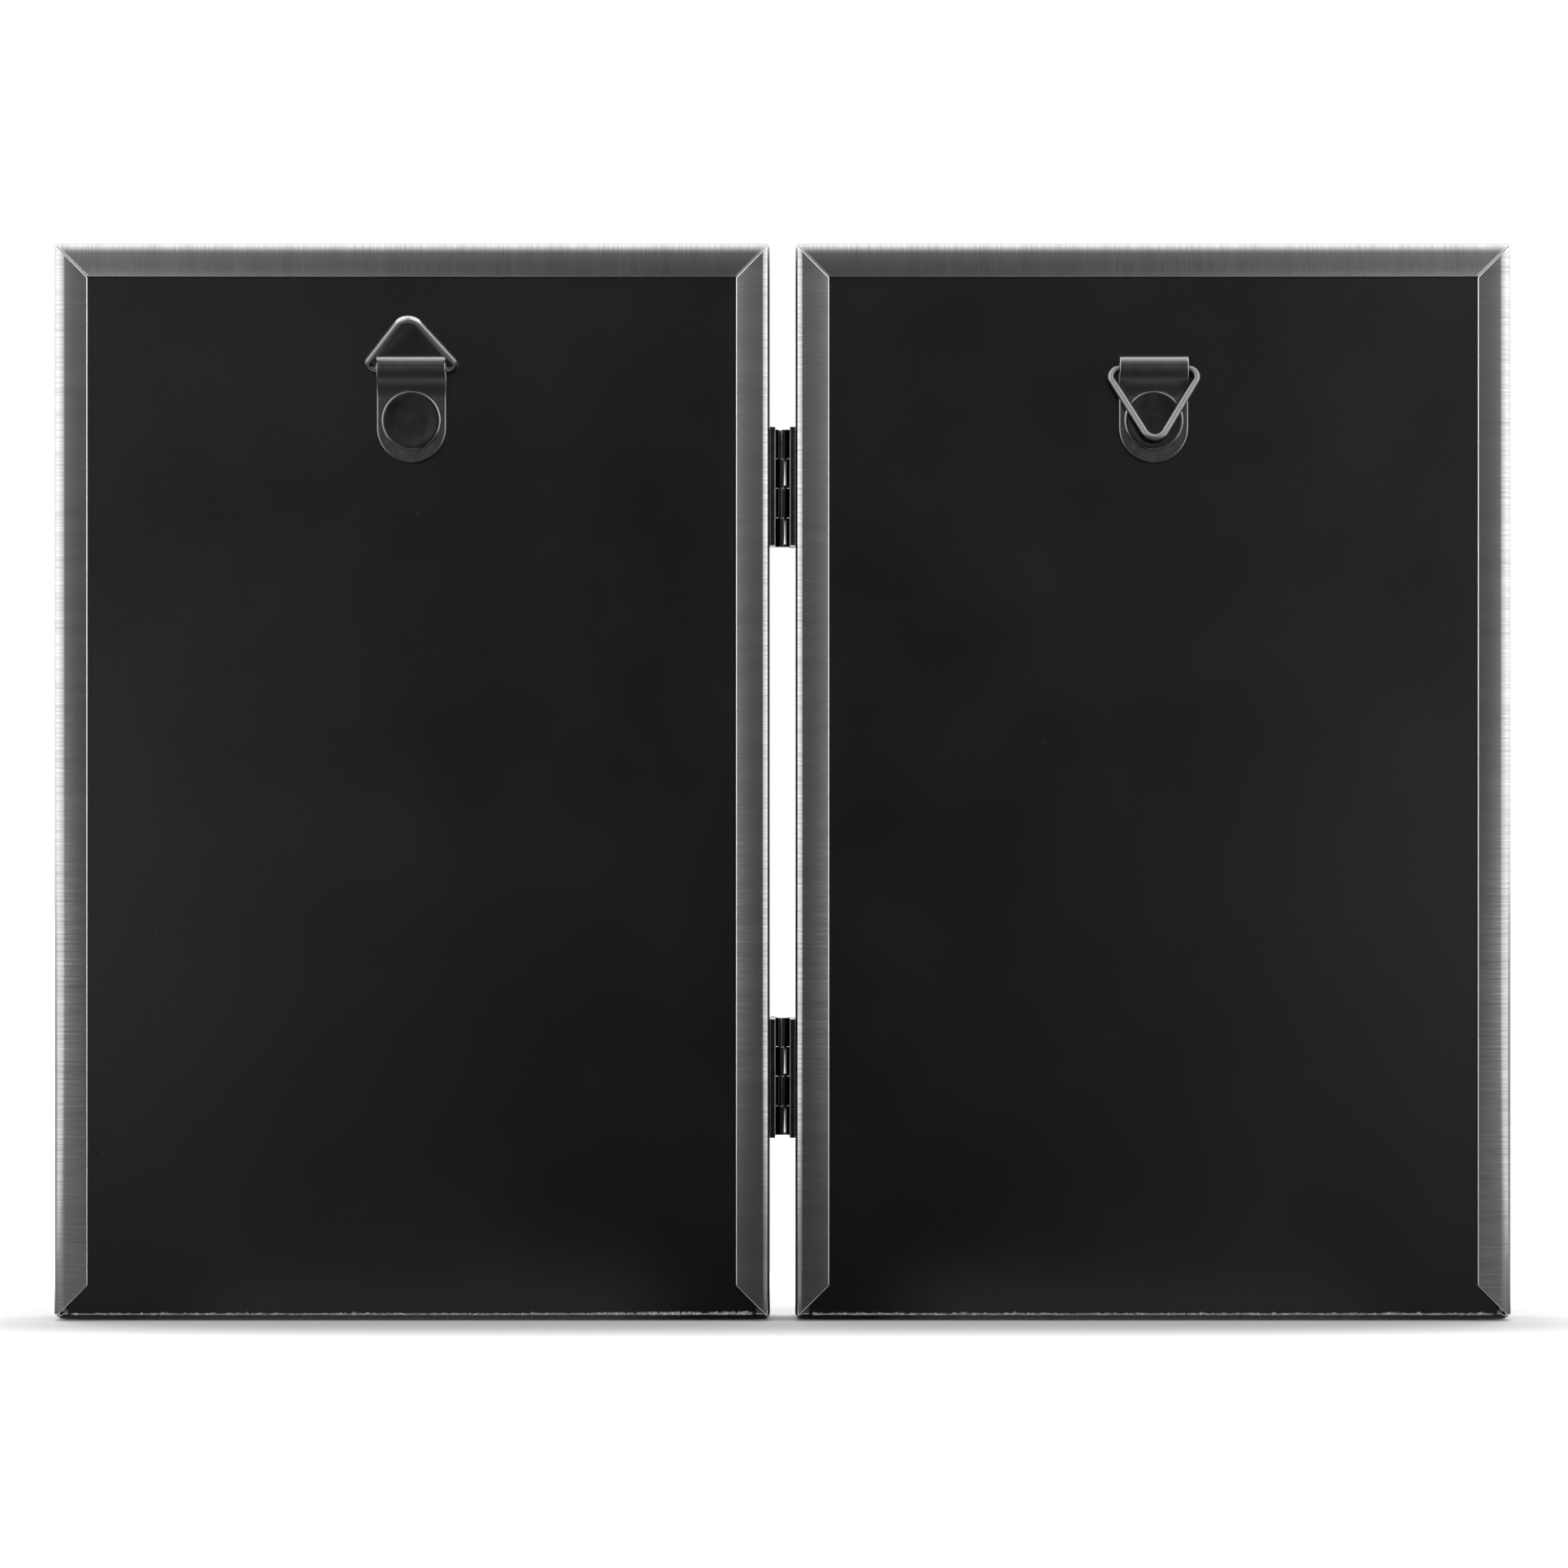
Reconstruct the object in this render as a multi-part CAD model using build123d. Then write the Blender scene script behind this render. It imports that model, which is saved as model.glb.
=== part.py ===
from build123d import *
import math
import os

# Hinged double photo frame, open flat and standing on its lower edge.
# The pictures face -Y and the backing boards face +Y. The fold axis is vertical, at X = 0.
# Depths are counted from the front faces of the panels towards the back.

# Panels
panel_width = 114.3
panel_height = 172.1
panel_depth = 12.0
panel_gap = 4.1

# Rails folded from sheet, mitred at the corners
sheet = 0.6
fold_radius = 1.5
front_border = 12.7
lip_width = 2.4
lip_gap = 0.4
hem_width = 5.4
mitre_gap = 0.3
hem_tip_lift = 0.9
hem_tip_slant_lift = 0.3
top_corner_radius = 0.5
bottom_corner_radius = 1.2
bottom_hem_width = 3.0
bottom_fold_radius = 1.0
tight_bend_share = 0.96

# Bent braces in the channel corners
brace_thickness = 0.8
brace_leg = 12.0
brace_bend = 1.2

# What each panel holds, from the front to the back
edge_clearance = 0.3
glass_thickness = 2.0
insert_thickness = 0.3
board_thickness = 2.0
board_side_clearance = 1.55
board_lift = 1.0
slide_clearance = 0.2

# Strap hanger on the backing board
strap_drop = 17.95
strap_length = 17.1
strap_width = 11.0
strap_sheet = 0.7
strap_layer_gap = 0.05
loop_height = 3.4
loop_pivot_drop = 2.2
loop_front_drop = 2.6
loop_foot_drop = 4.9
loop_bend = 1.0

# Rivet of the strap hanger
rivet_drop = 28.35
rivet_head_diameter = 9.5
rivet_head_height = 0.7
rivet_head_edge = 0.35
rivet_shank_diameter = 3.0
rivet_tail_diameter = 6.0
rivet_tail_height = 0.5
rivet_recess_depth = 0.6
rivet_fit = 0.05

# Triangular wire ring
wire_diameter = 1.2
ring_base = 15.6
ring_rise = 12.6
ring_bend = 1.3
ring_rest_gap = 0.25
raised_angle = 51.0

# Butt hinges between the panels
hinge_inset = 38.6
hinge_length = 19.05
knuckle_count = 4
knuckle_gap = 0.1
knuckle_clearance = 0.25
leaf_thickness = 0.9
leaf_width = 9.0
axis_lead = 0.5
pin_clearance = 0.05
seam_width = 0.4
seam_offset = 0.35

# Rivets of the hinge leaves
leaf_rivet_spacing = 9.5
leaf_rivet_head = 3.2
leaf_rivet_sink = 0.7
leaf_rivet_shank = 1.6
leaf_rivet_tail = 2.6
leaf_rivet_tail_height = 0.5

# How far a cut runs past the surface that it cuts
overrun = 1.0

# Depths that follow from the sizes above
lip_back = sheet + lip_gap + sheet
glass_back = lip_back + glass_thickness
insert_back = glass_back + insert_thickness
board_back = panel_depth - sheet - slide_clearance
board_front = board_back - board_thickness
bottom_rail_depth = board_front - slide_clearance

# Distances across and up the panel that follow from the sizes above
cavity_margin = sheet + brace_thickness + edge_clearance
board_width = panel_width - 2 * (sheet + board_side_clearance)
mitre_setback = mitre_gap / math.sqrt(2)
strap_top = panel_height - strap_drop
strap_bottom = strap_top - strap_length
rivet_height = panel_height - rivet_drop
strap_front = board_back + strap_sheet + strap_layer_gap + strap_sheet
rivet_top = strap_front + rivet_head_height

# The ring: where it turns, how far its tip reaches, and how it lies over the rivet
wire_radius = wire_diameter / 2
pivot_depth = board_back + loop_height / 2
pivot_height = strap_top - loop_pivot_drop
half_apex = math.atan2(ring_base / 2, ring_rise)
ring_reach = ring_rise - ring_bend / math.sin(half_apex) + ring_bend


def reach_over_rivet():
    """Distance from the pivot at which the ring's side wires first pass over the rivet head's rim."""
    rim = rivet_head_diameter / 2 + wire_radius
    drop = pivot_height - rivet_height
    half_base = ring_base / 2
    slope = half_base / ring_rise
    a = slope ** 2 + 1
    b = -2 * (half_base * slope + drop)
    c = half_base ** 2 + drop ** 2 - rim ** 2
    return (-b - math.sqrt(b ** 2 - 4 * a * c)) / (2 * a)


def hanging_angle():
    """Angle from straight up at which the ring lies on the rivet head, in degrees."""
    step = rivet_top + ring_rest_gap + wire_radius - pivot_depth
    return 180 - math.degrees(math.atan2(step, reach_over_rivet()))


# The hinge barrel fills the gap, and its sheet is rolled from the leaf
barrel_radius = panel_gap / 2
bore_radius = barrel_radius - leaf_thickness
pin_radius = bore_radius - pin_clearance
leaf_edge = leaf_width - axis_lead
leaf_rivet_depth = (fold_radius + leaf_edge) / 2
knuckle_pitch = hinge_length / knuckle_count

# The whole object is centred front to back between the barrel and the tip of the raised ring
front_reach = axis_lead + barrel_radius
back_reach = pivot_depth + ring_reach * math.sin(math.radians(raised_angle)) + wire_radius
front_y = (front_reach - back_reach) / 2

UP = (0, 0, 1)
DOWN = (0, 0, -1)
BACK = (0, 1, 0)
ON_BASE = (Align.CENTER, Align.CENTER, Align.MIN)


def block(across, depths, heights):
    """A box between two places along each axis."""
    spans = [sorted(span) for span in (across, depths, heights)]
    size = [high - low for low, high in spans]
    middle = [(high + low) / 2 for low, high in spans]
    return Pos(*middle) * Box(*size)


def slab(shape, near, far):
    """A flat shape drawn in X and Z, made solid from one depth to another."""
    face_plane = Plane(origin=(0, near, 0), x_dir=(1, 0, 0), z_dir=(0, -1, 0))
    return extrude(face_plane * shape, amount=near - far)


def offset_path(points, distance):
    """The corners of a line that runs beside a path at a distance, on its left where positive."""
    directions = []
    for start, end in zip(points, points[1:]):
        length = math.dist(start, end)
        directions.append(((end[0] - start[0]) / length, (end[1] - start[1]) / length))
    corners = []
    for index, point in enumerate(points):
        before = directions[max(index - 1, 0)]
        after = directions[min(index, len(directions) - 1)]
        spread = 1 + before[0] * after[0] + before[1] * after[1]
        across = -(before[1] + after[1]) * distance / spread
        along = (before[0] + after[0]) * distance / spread
        corners.append((point[0] + across, point[1] + along))
    return corners


def left_turns(points):
    """For each inner corner of a path, 1 where it turns left and -1 where it turns right."""
    turns = []
    for a, b, c in zip(points, points[1:], points[2:]):
        cross = (b[0] - a[0]) * (c[1] - b[1]) - (b[1] - a[1]) * (c[0] - b[0])
        turns.append(math.copysign(1, cross))
    return turns


def bent_strip(points, radii, thickness):
    """The section of a bent strip. The path runs along its middle, with a bend radius at each corner."""
    turns = left_turns(points)
    sides = []
    for distance in (thickness / 2, -thickness / 2):
        bends = [radius - turn * distance for radius, turn in zip(radii, turns)]
        sides.append(FilletPolyline(*offset_path(points, distance), radius=bends))
    ends = [Line(sides[0] @ end, sides[1] @ end) for end in (0, 1)]
    return make_face([*sides, *ends])


def rail_section(depth, back_fold_radius, back_width):
    """A rail's section: turned-in lip, front face, wall and rear hem, from the outer face inwards."""
    half = sheet / 2
    lip_middle = lip_back - half
    lip_bend = (lip_middle - half) / 2 * tight_bend_share
    path = [
        (front_border - lip_width, lip_middle),
        (front_border - half, lip_middle),
        (front_border - half, half),
        (half, half),
        (half, depth - half),
        (back_width, depth - half),
    ]
    return bent_strip(path, [lip_bend, lip_bend, fold_radius - half, back_fold_radius - half], sheet)


def rail(section, middle, inward, length):
    """A rail along one edge of a panel, mitred at both ends, with a slit left at each mitre."""
    along = Vector(*inward).cross(Vector(*BACK))
    bar = extrude(Plane(origin=middle, x_dir=inward, z_dir=along) * section, amount=length / 2, both=True)
    outer = length / 2 - mitre_setback
    width = front_border + overrun
    corners = [(-outer, 0), (outer, 0), (outer - width, width), (width - outer, width)]
    wedge = Plane(origin=middle, x_dir=along, z_dir=BACK) * Polygon(*corners, align=None)
    return bar & extrude(wedge, amount=panel_depth)


def panel_outline(centre):
    """The outer form of a panel: its upright corners are rounded as seen from the front."""
    body = block(
        (centre - panel_width / 2, centre + panel_width / 2),
        (0, panel_depth),
        (0, panel_height),
    )
    upright = body.edges().filter_by(Axis.Y).sort_by(Axis.Z)
    body = fillet(upright[:2], bottom_corner_radius)
    upright = body.edges().filter_by(Axis.Y).filter_by(GeomType.LINE).sort_by(Axis.Z)
    return fillet(upright[-2:], top_corner_radius)


def hem_tip_relief(outer, inward):
    """The space left behind the bottom rail. The hem's tip is blunt at the wall and slants up inwards."""
    reach = front_border + overrun
    corners = [
        (outer - inward * overrun, -overrun),
        (outer - inward * overrun, hem_tip_lift),
        (outer + inward * (hem_tip_lift - hem_tip_slant_lift), hem_tip_lift),
        (outer + inward * reach, hem_tip_slant_lift + reach),
        (outer + inward * reach, -overrun),
    ]
    return slab(Polygon(*corners, align=None), bottom_rail_depth, panel_depth + overrun)


def stile(centre, side, outline):
    """An upright rail. side is 1 for the one towards +X and -1 for the other."""
    section = rail_section(panel_depth, fold_radius, hem_width)
    outer = centre + side * panel_width / 2
    bar = rail(section, (outer, 0, panel_height / 2), (-side, 0, 0), panel_height)
    return (bar & outline) - hem_tip_relief(outer, -side)


def corner_braces(centre):
    """Four strips bent square, flat against the insides of the walls in the four corners."""
    near = sheet + brace_thickness / 2
    path = [(brace_leg, near), (near, near), (near, brace_leg)]
    strip = bent_strip(path, [brace_bend], brace_thickness)
    brace = slab(strip, fold_radius, bottom_rail_depth - bottom_fold_radius)
    low_left = Pos(centre - panel_width / 2, 0, 0) * brace
    low = [low_left, mirror(low_left, about=Plane(origin=(centre, 0, 0), z_dir=(1, 0, 0)))]
    level = Plane(origin=(centre, 0, panel_height / 2), z_dir=UP)
    high = [mirror(piece, about=level) for piece in low]
    return low + high


def plate(centre, width, heights, depths):
    """A flat pane or card, centred in its panel."""
    return block((centre - width / 2, centre + width / 2), depths, heights)


def disc(centre, height, radius, near, far):
    """A round bar along the depth."""
    return slab(Pos(centre, height) * Circle(radius), near, far)


def backboard(centre):
    """The board, bored for the hanger's rivet and recessed in front for the rivet's clinched tail."""
    heights = (board_lift, panel_height - fold_radius)
    board = plate(centre, board_width, heights, (board_front, board_back))
    bore = rivet_shank_diameter / 2 + rivet_fit
    board -= disc(centre, rivet_height, bore, board_front - overrun, board_back + overrun)
    recess = rivet_tail_diameter / 2 + edge_clearance
    return board - disc(centre, rivet_height, recess, board_front - overrun, board_front + rivet_recess_depth)


def hanger_strap(centre):
    """A strip folded double with an open loop at its top. Its lower end is round."""
    half = strap_sheet / 2
    rear = board_back + half
    front = board_back + loop_height - half
    flat = strap_front - half
    crown = (loop_height - strap_sheet) / 2 * tight_bend_share
    path = [
        (rear, strap_bottom),
        (rear, strap_top - half),
        (front, strap_top - half),
        (front, strap_top - loop_front_drop),
        (flat, strap_top - loop_foot_drop),
        (flat, strap_bottom),
    ]
    section = bent_strip(path, [crown, crown, loop_bend, loop_bend], strap_sheet)
    profile = Plane(origin=(centre, 0, 0), x_dir=BACK, z_dir=(1, 0, 0)) * section
    strip = extrude(profile, amount=strap_width / 2, both=True)
    half_width = strap_width / 2
    round_end = strap_bottom + half_width
    far = board_back + loop_height + overrun
    tongue = plate(centre, strap_width + overrun, (round_end, strap_top + overrun), (board_front, far))
    strip &= tongue + disc(centre, round_end, half_width, board_front, far)
    bore = rivet_shank_diameter / 2 + rivet_fit
    return strip - disc(centre, rivet_height, bore, board_front, far)


def hanger_rivet(centre):
    """A broad flat head on the strap, a shank through the board, and a tail sunk in the board."""
    head = disc(centre, rivet_height, rivet_head_diameter / 2, strap_front, rivet_top)
    rim = head.edges().filter_by(GeomType.CIRCLE).sort_by(Axis.Y)[-1:]
    head = fillet(rim, rivet_head_edge)
    tail_back = board_front + rivet_recess_depth
    tail_front = tail_back - rivet_tail_height
    shank = disc(centre, rivet_height, rivet_shank_diameter / 2, tail_front, strap_front)
    tail = disc(centre, rivet_height, rivet_tail_diameter / 2, tail_front, tail_back)
    return head + shank + tail


def hanger_ring(centre, angle):
    """The wire triangle. It turns about its base wire, and angle is counted from straight up."""
    turn = math.radians(angle)
    facing = (0, -math.cos(turn), math.sin(turn))
    lie = Plane(origin=(centre, pivot_depth, pivot_height), x_dir=(1, 0, 0), z_dir=facing)
    corners = [(-ring_base / 2, 0), (ring_base / 2, 0), (0, ring_rise)]
    path = (lie * FilletPolyline(*corners, radius=ring_bend, close=True)).wire()
    start = Plane(origin=path @ 0, z_dir=path % 0)
    return sweep(start * Circle(wire_radius), path=path)


def hinge_post(radius, low, high):
    """A round bar on the fold axis."""
    return Pos(0, -axis_lead, low) * Cylinder(radius, high - low, align=ON_BASE)


def leaf_rivet(grow=0):
    """A countersunk rivet along Z: head face at zero, then the leaf, the wall and the clinched tail."""
    grip = leaf_thickness + sheet
    top = leaf_rivet_head / 2 + grow
    neck = leaf_rivet_shank / 2 + grow
    tail = Pos(0, 0, grip) * Cylinder(leaf_rivet_tail / 2, leaf_rivet_tail_height, align=ON_BASE)
    return Cone(top, neck, leaf_rivet_sink, align=ON_BASE) + Cylinder(neck, grip, align=ON_BASE) + tail


def leaf_rivet_places(side, middle):
    """Where the two rivets of a leaf stand, with their heads towards the fold axis."""
    across = side * (barrel_radius - leaf_thickness)
    heights = [middle - leaf_rivet_spacing / 2, middle + leaf_rivet_spacing / 2]
    return [Pos(across, leaf_rivet_depth, height) * Rot(0, 90 * side, 0) for height in heights]


def knuckle_spans(middle, side):
    """The heights between which a leaf has its knuckles. The +X leaf has the topmost one."""
    top = middle + hinge_length / 2
    first = 0 if side > 0 else 1
    spans = []
    for index in range(first, knuckle_count, 2):
        high = top - index * knuckle_pitch
        spans.append((high - knuckle_pitch + knuckle_gap / 2, high - knuckle_gap / 2))
    return spans


def hinge_leaf(side, middle):
    """A leaf flat on its panel's wall, with knuckles rolled from the same sheet round the pin."""
    heights = (middle - hinge_length / 2, middle + hinge_length / 2)
    inner = side * bore_radius
    leaf = block((inner, side * barrel_radius), (-axis_lead, leaf_edge), heights)
    clear = barrel_radius + knuckle_clearance
    for low, high in knuckle_spans(middle, -side):
        span = (low - knuckle_gap, high + knuckle_gap)
        leaf -= block((0, side * clear), (-axis_lead - overrun, clear - axis_lead), span)
    for low, high in knuckle_spans(middle, side):
        leaf += hinge_post(barrel_radius, low, high)
    leaf -= hinge_post(bore_radius, heights[0] - overrun, heights[1] + overrun)
    seam = side * seam_offset
    leaf -= block(
        (seam - seam_width / 2, seam + seam_width / 2),
        (-axis_lead, clear - axis_lead),
        (heights[0] - overrun, heights[1] + overrun),
    )
    for place in leaf_rivet_places(side, middle):
        leaf -= place * leaf_rivet(rivet_fit)
    return leaf


def hinge_pin(middle):
    """The pin through all the knuckles of a hinge."""
    return hinge_post(pin_radius, middle - hinge_length / 2, middle + hinge_length / 2)


hinge_heights = {"upper": panel_height - hinge_inset, "lower": hinge_inset}


def panel(name, side, ring_angle):
    """The pieces of one panel by name. side is 1 for the panel towards +X and -1 for the other."""
    centre = side * (panel_gap + panel_width) / 2
    outline = panel_outline(centre)
    top_section = rail_section(panel_depth, fold_radius, hem_width)
    bottom_section = rail_section(bottom_rail_depth, bottom_fold_radius, bottom_hem_width)
    hinge_stile = stile(centre, -side, outline)
    for middle in hinge_heights.values():
        for place in leaf_rivet_places(side, middle):
            shank = Cylinder(leaf_rivet_shank / 2 + rivet_fit, leaf_thickness + panel_gap, align=ON_BASE)
            hinge_stile -= place * shank
    inner_width = panel_width - 2 * cavity_margin
    inner_heights = (cavity_margin, panel_height - cavity_margin)
    pad_heights = (bottom_hem_width + edge_clearance, panel_height - cavity_margin)
    pieces = {
        "top_rail": [rail(top_section, (centre, 0, panel_height), DOWN, panel_width) & outline],
        "bottom_rail": [rail(bottom_section, (centre, 0, 0), UP, panel_width) & outline],
        "hinge_stile": [hinge_stile],
        "outer_stile": [stile(centre, side, outline)],
        "corner_braces": corner_braces(centre),
        "glass": [plate(centre, inner_width, inner_heights, (lip_back, glass_back))],
        "photo_insert": [plate(centre, inner_width, inner_heights, (glass_back, insert_back))],
        "filler_pad": [plate(centre, inner_width, pad_heights, (insert_back, bottom_rail_depth))],
        "backboard": [backboard(centre)],
        "hanger_strap": [hanger_strap(centre)],
        "hanger_rivet": [hanger_rivet(centre)],
        "hanger_ring": [hanger_ring(centre, ring_angle)],
    }
    return {f"{name}_{piece}": solids for piece, solids in pieces.items()}


def hinge(name, middle):
    """The pieces of one hinge by name."""
    pieces = {f"{name}_hinge_pin": [hinge_pin(middle)]}
    for panel_name, side in (("left", -1), ("right", 1)):
        rivets = [place * leaf_rivet() for place in leaf_rivet_places(side, middle)]
        pieces[f"{name}_hinge_{panel_name}_leaf"] = [hinge_leaf(side, middle)]
        pieces[f"{name}_hinge_{panel_name}_rivets"] = rivets
    return pieces


nodes = {
    **panel("left", -1, hanging_angle()),
    **panel("right", 1, raised_angle),
}
for hinge_name, hinge_height in hinge_heights.items():
    nodes.update(hinge(hinge_name, hinge_height))

os.makedirs("parts", exist_ok=True)
for node, solids in nodes.items():
    placed = [Pos(0, front_y, 0) * solid for solid in solids]
    export_step(placed[0] if len(placed) == 1 else Compound(children=placed), f"parts/{node}.step")
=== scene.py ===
import bmesh
import bpy
import numpy as np
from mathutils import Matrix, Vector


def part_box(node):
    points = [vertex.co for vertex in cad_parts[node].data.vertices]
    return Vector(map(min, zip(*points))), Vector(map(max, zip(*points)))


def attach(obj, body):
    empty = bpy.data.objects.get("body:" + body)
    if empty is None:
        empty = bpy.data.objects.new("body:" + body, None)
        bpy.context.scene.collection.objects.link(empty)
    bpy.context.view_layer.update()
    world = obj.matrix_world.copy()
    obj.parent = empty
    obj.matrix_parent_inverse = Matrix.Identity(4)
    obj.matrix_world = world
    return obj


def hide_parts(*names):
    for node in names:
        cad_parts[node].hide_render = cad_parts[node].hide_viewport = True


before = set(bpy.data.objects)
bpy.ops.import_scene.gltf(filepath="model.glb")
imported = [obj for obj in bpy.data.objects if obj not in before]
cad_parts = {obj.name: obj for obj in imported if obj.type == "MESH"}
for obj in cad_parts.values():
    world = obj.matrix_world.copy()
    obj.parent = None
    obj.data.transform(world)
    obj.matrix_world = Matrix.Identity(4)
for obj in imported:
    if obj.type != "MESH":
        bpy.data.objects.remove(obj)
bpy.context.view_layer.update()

# Folded bars
# Each panel's border is four bars of thin steel, each folded from one strip: a turned-in lip, the front
# face, the wall and the rear hem. They are mitred at the corners and brushed across their length. Their
# sheared edges are lighter: partly the bare cut steel, partly a painted highlight along the edges. The
# bottom bar is shallower, so that the board slides out over its hem.
mm = 0.001
sheet = 0.6 * mm
sheet_half = sheet / 2
border = 12.7 * mm
lip_width = 2.4 * mm
lip_depth = 1.3 * mm
lip_bend = 0.48 * mm
face_bend = 1.2 * mm
low_hem_bend = 0.7 * mm
hem_width = 5.4 * mm
low_hem_width = 3.0 * mm
outer_fold_bend = 1.4 * mm
inner_fold_bend = 0.9 * mm
mitre_setback = 0.03 * mm
hem_tip_lift = 0.9 * mm
hem_tip_slant_lift = 0.3 * mm
top_corner_round = 0.5 * mm
low_corner_round = 1.2 * mm
shear_round = 0.2 * mm
bend_step = np.radians(6)
edge_angles = np.radians([0, 30, 60, 90])
edge_spans = len(edge_angles) - 1
guard = 0.15 * mm
closing_share = 0.999
rim_share = 0.9
merge_distance = 0.001 * mm
smooth_below = np.radians(40)
bar_columns = 24
grain_gloss = 0.04
grain_depth = 0.02 * mm
panel_sides = {"left": -1, "right": 1}
back = np.array([0, 1, 0])
right = np.array([1, 0, 0])
up = np.array([0, 0, 1])


def rounded_line(corners, radii, extra=()):
    """A line through the corners, each inner corner rounded to an arc: its points, its left-hand normals
    and the length so far. An arc starts its radius times the tangent of half the turn before the corner.
    The heading is the running sum of the turns, and each step goes forward by its chord, which is the
    length of the step times the sine of half its turn over half its turn."""
    corners = np.array(corners, float)
    radii = np.array(radii, float)
    runs = np.diff(corners, axis=0)
    headings = np.unwrap(np.arctan2(runs[:, 1], runs[:, 0]))
    turns = np.diff(headings)
    cut = radii * np.abs(np.tan(turns / 2))
    straights = np.hypot(*runs.T) - np.append(0, cut) - np.append(cut, 0)
    steps, bends = [], []
    for index, straight in enumerate(straights):
        short = min(guard, straight / 4)
        steps.append([short, straight - 2 * short, short])
        bends.append([0, 0, 0])
        if index < len(turns):
            count = int(np.ceil(abs(turns[index]) / bend_step))
            steps.append([radii[index] * abs(turns[index]) / count] * count)
            bends.append([turns[index] / count] * count)
    steps, bends = np.concatenate(steps), np.concatenate(bends)
    heading = headings[0] + np.append(0, np.cumsum(bends))
    middle = heading[:-1] + bends / 2
    chord = steps * np.sinc(bends / 2 / np.pi)
    moves = np.stack([chord * np.cos(middle), chord * np.sin(middle)], axis=1)
    points = corners[0] + np.vstack([[0, 0], np.cumsum(moves, axis=0)])
    length = np.append(0, np.cumsum(steps))
    stations = np.union1d(length, np.clip(extra, 0, length[-1]))
    normals = np.stack([-np.sin(heading), np.cos(heading)], axis=1)
    points = np.stack([np.interp(stations, length, values) for values in points.T], axis=1)
    normals = np.stack([np.interp(stations, length, values) for values in normals.T], axis=1)
    return points, normals, stations


def roll_off(distance, radius):
    """How much thinner a rounded edge is at a distance from its end: the radius less the height of a
    quarter circle."""
    inside = np.clip(radius - distance, 0, radius)
    return radius - np.sqrt(radius ** 2 - inside ** 2)


def edge_stations(radius):
    """Distances from the end of a rounded edge at even angles round its quarter circle."""
    return radius * (1 - np.cos(edge_angles))


def sheet_grid(line, thickness, edge, reach, columns):
    """A bent sheet as a closed surface. A point is the line's point plus or minus half the thickness along
    the normal, and it lies across the sheet at a share of the reach there. The thickness rolls off to a
    rounded edge at both ends of the line and at both ends of the reach, where it never quite closes. A
    guard column beside each rounded edge keeps the shading of the flat part flat. The result has one row
    for each station, then one for each of the two faces, then one for each column."""
    points, normals, stations = line
    near = edge_stations(edge)
    inner = np.linspace(-1, 1, columns + 1)[1:-1]
    outer = np.ones(len(near) + 1)
    share = np.concatenate([-outer, inner, outer])
    inset = np.concatenate([near, np.full(columns + 1, edge), near[::-1]])
    still = np.zeros(len(near))
    guarded = np.concatenate([still, [1], np.zeros(columns - 1), [1], still])
    to_end = np.minimum(stations, stations[-1] - stations)
    at_sides = roll_off(inset, edge)[None, :] * closing_share
    half = thickness / 2 - roll_off(to_end, edge)[:, None] - at_sides
    face = np.array([1, -1])[None, :, None]
    section = points[:, None, None, :] + (face * half[:, None, :])[..., None] * normals[:, None, None, :]
    limit = reach(section, np.sign(share))
    rim = np.minimum(edge, limit * rim_share)
    step = guarded * np.minimum(guard, (limit - rim) / columns)
    across = share * (limit - rim) + np.sign(share) * (rim * (1 - inset / edge) - step)
    along = np.broadcast_to(stations[:, None, None], across.shape)
    return section, across, along


def sheet_faces(rows, columns):
    """The faces of a sheet grid, and for each whether it lies on a sheared edge: both sides of the sheet,
    the two ends of its line, and the two ends of its reach."""
    loop = np.concatenate([np.arange(rows) * 2, np.arange(rows)[::-1] * 2 + 1])
    following = np.roll(loop, -1)
    column = np.arange(columns - 1)
    this_side = loop[:, None] * columns + column
    next_side = following[:, None] * columns + column
    sides = np.stack([this_side, next_side, next_side + 1, this_side + 1], axis=-1).reshape(-1, 4)
    row = np.minimum(loop // 2, following // 2)
    at_end = (row < edge_spans) | (row >= rows - 1 - edge_spans) | (loop // 2 == following // 2)
    at_side = (column < edge_spans) | (column >= columns - 1 - edge_spans)
    sheared = (at_end[:, None] | at_side[None, :]).reshape(-1)
    low = np.arange(rows - 1) * 2 * columns
    ends = [low, low + 2 * columns, low + 3 * columns, low + columns]
    caps = np.concatenate([np.stack(ends, axis=1), np.stack(ends, axis=1) + columns - 1])
    return np.concatenate([sides, caps]).tolist(), np.append(sheared, np.ones(len(caps), bool))


def add_piece(name, points, faces, finishes, marks=None, uv=None):
    """A mesh piece from arrays of points and faces, in place, with its normals outwards, smooth where it
    bends gently. The marks choose a finish for each face, and uv gives each point two lengths in metres."""
    mesh = bpy.data.meshes.new(name)
    mesh.from_pydata(points.reshape(-1, 3).tolist(), [], faces)
    for finish in finishes:
        mesh.materials.append(finish)
    if marks is not None:
        mesh.polygons.foreach_set("material_index", np.asarray(marks).astype(np.int32))
    if uv is not None:
        corner_points = np.zeros(len(mesh.loops), np.int32)
        mesh.loops.foreach_get("vertex_index", corner_points)
        layer = mesh.uv_layers.new(name="metres")
        layer.data.foreach_set("uv", uv.reshape(-1, 2)[corner_points].astype(np.float32).reshape(-1))
    work = bmesh.new()
    work.from_mesh(mesh)
    bmesh.ops.remove_doubles(work, verts=work.verts, dist=merge_distance)
    bmesh.ops.recalc_face_normals(work, faces=work.faces)
    work.to_mesh(mesh)
    work.free()
    mesh.shade_smooth()
    mesh.set_sharp_from_angle(angle=smooth_below)
    piece = bpy.data.objects.new(name, mesh)
    bpy.context.scene.collection.objects.link(piece)
    return piece


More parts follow.
